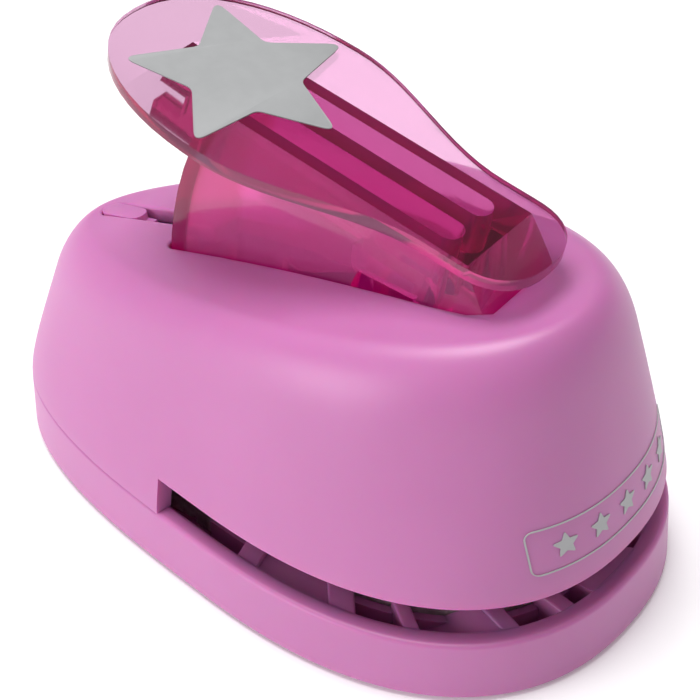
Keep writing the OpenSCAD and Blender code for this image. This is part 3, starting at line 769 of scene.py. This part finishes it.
def build_lever():
    """The lever, with the walls under the plate duller than its polished faces."""
    lever = softened("lever", "press_lever", "lever", CLEAR)
    lever.data.materials.append(CLEAR_WALLS)
    plate_side = Vector((0, -math.sin(RISE), math.cos(RISE)))
    plate_under = PLATE_TOP - PLATE_THICK - 0.06
    for poly in lever.data.polygons:
        level = (poly.center / MM - Vector(PIVOT)).dot(plate_side)
        is_edge = abs(poly.normal.dot(plate_side)) < 0.5
        poly.material_index = 1 if is_edge or level < plate_under else 0


# ---------------------------------------------------------------- star print on the lever
# a star's tip and notch radii, and how far its tips and notches are rounded
PUNCH_STAR = (11.9, 5.75, 0.75, 1.2)
STAR_MEAN_RADIUS = 8
STAR_ALONG = 40  # the star's middle, along the plate from the pivot
STAR_THICK = 0.13
PRINT_GAP = 0.01
# each ring of the print: how far in and how far up
STAR_RINGS = ((0.0, 0.0), (0.0, STAR_THICK - 0.03), (0.04, STAR_THICK))


def rounded_star(tip_radius, notch_radius, tip, notch, steps=7):
    """Star outline, one tip to -Y, with rounded tips and notches."""
    corners = []
    for i in range(5):
        a, b = math.radians(-90 + 72 * i), math.radians(-54 + 72 * i)
        corners.append((np.array([tip_radius * math.cos(a), tip_radius * math.sin(a)]), tip))
        corners.append((np.array([notch_radius * math.cos(b), notch_radius * math.sin(b)]), notch))
    pts = []
    for i, (p, r) in enumerate(corners):
        a = corners[i - 1][0] - p
        c = corners[(i + 1) % len(corners)][0] - p
        a, c = a / np.linalg.norm(a), c / np.linalg.norm(c)
        half = math.acos(np.clip(a @ c, -1, 1)) / 2
        d = r / math.tan(half)
        p0, p1 = p + a * d, p + c * d
        for k in np.linspace(0, 1, steps):
            pts.append((1 - k) ** 2 * p0 + 2 * k * (1 - k) * p + k * k * p1)
    return np.array(pts)


def lever_point(x, u, w):
    """From the lever's own frame (across, along the plate, square to it) to the shared frame."""
    c, s = math.cos(RISE), math.sin(RISE)
    return (x, PIVOT[1] + u * c - w * s, PIVOT[2] + u * s + w * c)


def build_star_print():
    star = rounded_star(*PUNCH_STAR)
    b = Builder()
    rings = []
    for inset, w in STAR_RINGS:
        p = star * (1 - inset / STAR_MEAN_RADIUS)
        rings.append(b.add([lever_point(x, STAR_ALONG + y, PLATE_TOP + PRINT_GAP + w) for x, y in p]))
    b.bridge_all(rings)
    b.faces += [rings[0], rings[-1]]
    mesh = mesh_of("lever_star_print", b.verts, b.faces)
    finish_object("lever_star_print", mesh, "lever", STAR_GREY, 35, "lever_star_sticker")


# ---------------------------------------------------------------- badge print on the front
BADGE_WIDTH = 24.0
BADGE_HEIGHT = 5.0
BADGE_LEVEL = 16.4
BADGE_LINE = 0.14
BADGE_CORNER = 0.9
BADGE_STAR = (1.45, 0.68, 0.12, 0.15)
BADGE_STARS = 5
BADGE_PITCH = 4.2
BADGE_REACH = 0.16  # share of the cover's outline searched on each side of the front
BADGE_TILT = 0.25  # how far the print's outward direction leans up
PRINT_UNDER, PRINT_OVER = 0.02, 0.1  # the print's two faces, above the cover


def build_badge():
    shares = np.mod(np.linspace(-BADGE_REACH, BADGE_REACH, 801), 1.0)
    front_rows = body_rows(0, COVER_FOOT, shares, wall_steps=60)

    def on_cover(x, z, lift):
        """Point of the cover's front at a given x and height."""
        line = along(front_rows, row_at_height(front_rows, z))
        line = line[np.argsort(line[:, 0])]
        y, before, after = (np.interp(x + dx, line[:, 0], line[:, 1]) for dx in (0, -0.1, 0.1))
        n = np.array([(after - before) / 0.2, -1.0, BADGE_TILT])
        n /= np.linalg.norm(n)
        return np.array([x, y, z]) + n * lift

    b = Builder()

    def frame_loop(inset, r, lift, count=220):
        w, h = BADGE_WIDTH / 2 - inset - r, BADGE_HEIGHT / 2 - inset - r
        pts = []
        for sx, sy, q0 in ((1, 1, 0), (-1, 1, 90), (-1, -1, 180), (1, -1, 270)):
            for q in np.radians(np.linspace(q0, q0 + 90, 7)):
                pts.append((sx * w + r * math.cos(q), sy * h + r * math.sin(q)))
        pts = np.array(pts + pts[:1])
        line = at_fractions(pts, np.linspace(0, 1, count, endpoint=False))
        return b.add([on_cover(x, BADGE_LEVEL + z, lift) for x, z in line])

    inner_corner = BADGE_CORNER - 0.25
    loops = [frame_loop(0, BADGE_CORNER, PRINT_UNDER),
             frame_loop(0, BADGE_CORNER, PRINT_OVER),
             frame_loop(BADGE_LINE, inner_corner, PRINT_OVER),
             frame_loop(BADGE_LINE, inner_corner, PRINT_UNDER)]
    b.bridge_all(loops + loops[:1])

    star = rounded_star(*BADGE_STAR, steps=4) * (1, -1)
    for i in range(BADGE_STARS):
        middle = (i - (BADGE_STARS - 1) / 2) * BADGE_PITCH
        rings = [b.add([on_cover(middle + x, BADGE_LEVEL + z, lift) for x, z in star])
                 for lift in (PRINT_UNDER, PRINT_OVER)]
        b.bridge_all(rings)
        for ring, lift in zip(rings, (PRINT_UNDER, PRINT_OVER)):
            centre = b.add([on_cover(middle, BADGE_LEVEL, lift)])[0]
            for k in range(len(ring)):
                b.faces.append((ring[k], ring[(k + 1) % len(ring)], centre))
    mesh = mesh_of("front_badge_print", b.verts, b.faces)
    finish_object("front_badge_print", mesh, "body", SILVER, 35, "front_label")


build_cover()
build_base()
build_lever()
softened("lever_lock_slide", "lock_slide_moulding", "lock", PINK)
build_star_print()
build_badge()

# ---------------------------------------------------------------- floor, light, camera (metres)
FLOOR_HALF = 3
FLOOR_Z = -0.0002
LIGHT_TARGET = (0, 0, 0.02)
CAMERA_AT = (-0.120148, -0.099946, 0.140927)
YAW, PITCH, ROLL = -0.891444, 0.667574, -0.029995  # radians
LENS = 97.7652  # millimetres, on a sensor 36 mm wide


def add_floor():
    corners = [(sx * FLOOR_HALF, sy * FLOOR_HALF, 0) for sx, sy in ((-1, -1), (1, -1), (1, 1), (-1, 1))]
    mesh = bpy.data.meshes.new("floor")
    mesh.from_pydata(corners, [], [(0, 1, 2, 3)])
    mat, _, shader = new_material("pale_floor")
    shader.inputs["Base Color"].default_value = (0.93, 0.93, 0.93, 1)
    shader.inputs["Roughness"].default_value = 0.6
    shader.inputs["Emission Color"].default_value = (1, 1, 1, 1)
    shader.inputs["Emission Strength"].default_value = 0.12
    mesh.materials.append(mat)
    floor = linked("floor", mesh)
    floor.location.z = FLOOR_Z


def add_world():
    world = bpy.data.worlds.new("studio")
    world.use_nodes = True
    background = world.node_tree.nodes["Background"]
    background.inputs["Color"].default_value = (1, 1, 1, 1)
    background.inputs["Strength"].default_value = 0.31
    bpy.context.scene.world = world


def area_light(name, location, size, power):
    data = bpy.data.lights.new(name, "AREA")
    data.shape = "RECTANGLE"
    data.size, data.size_y = size
    data.energy = power
    light = linked(name, data)
    light.location = location
    light.rotation_euler = (Vector(LIGHT_TARGET) - Vector(location)).to_track_quat("-Z", "Y").to_euler()


def add_camera():
    back = np.array([math.sin(YAW) * math.cos(PITCH), -math.cos(YAW) * math.cos(PITCH), math.sin(PITCH)])
    level_right = np.array([math.cos(YAW), math.sin(YAW), 0.0])
    level_up = np.cross(back, level_right)
    right = math.cos(ROLL) * level_right + math.sin(ROLL) * level_up
    up = -math.sin(ROLL) * level_right + math.cos(ROLL) * level_up
    data = bpy.data.cameras.new("camera")
    data.sensor_width = 36.0
    data.lens = LENS
    data.clip_start = 0.01
    camera = linked("camera", data)
    rows = [(right[i], up[i], back[i], CAMERA_AT[i]) for i in range(3)]
    camera.matrix_world = Matrix(rows + [(0, 0, 0, 1)])
    bpy.context.scene.camera = camera


add_floor()
add_world()
area_light("overhead", (0.0, 0.12, 0.85), (0.45, 0.45), 6.5)
area_light("left", (-0.5, 0.22, 0.16), (0.3, 0.22), 1.25)
add_camera()
bpy.context.scene.view_settings.view_transform = "Standard"
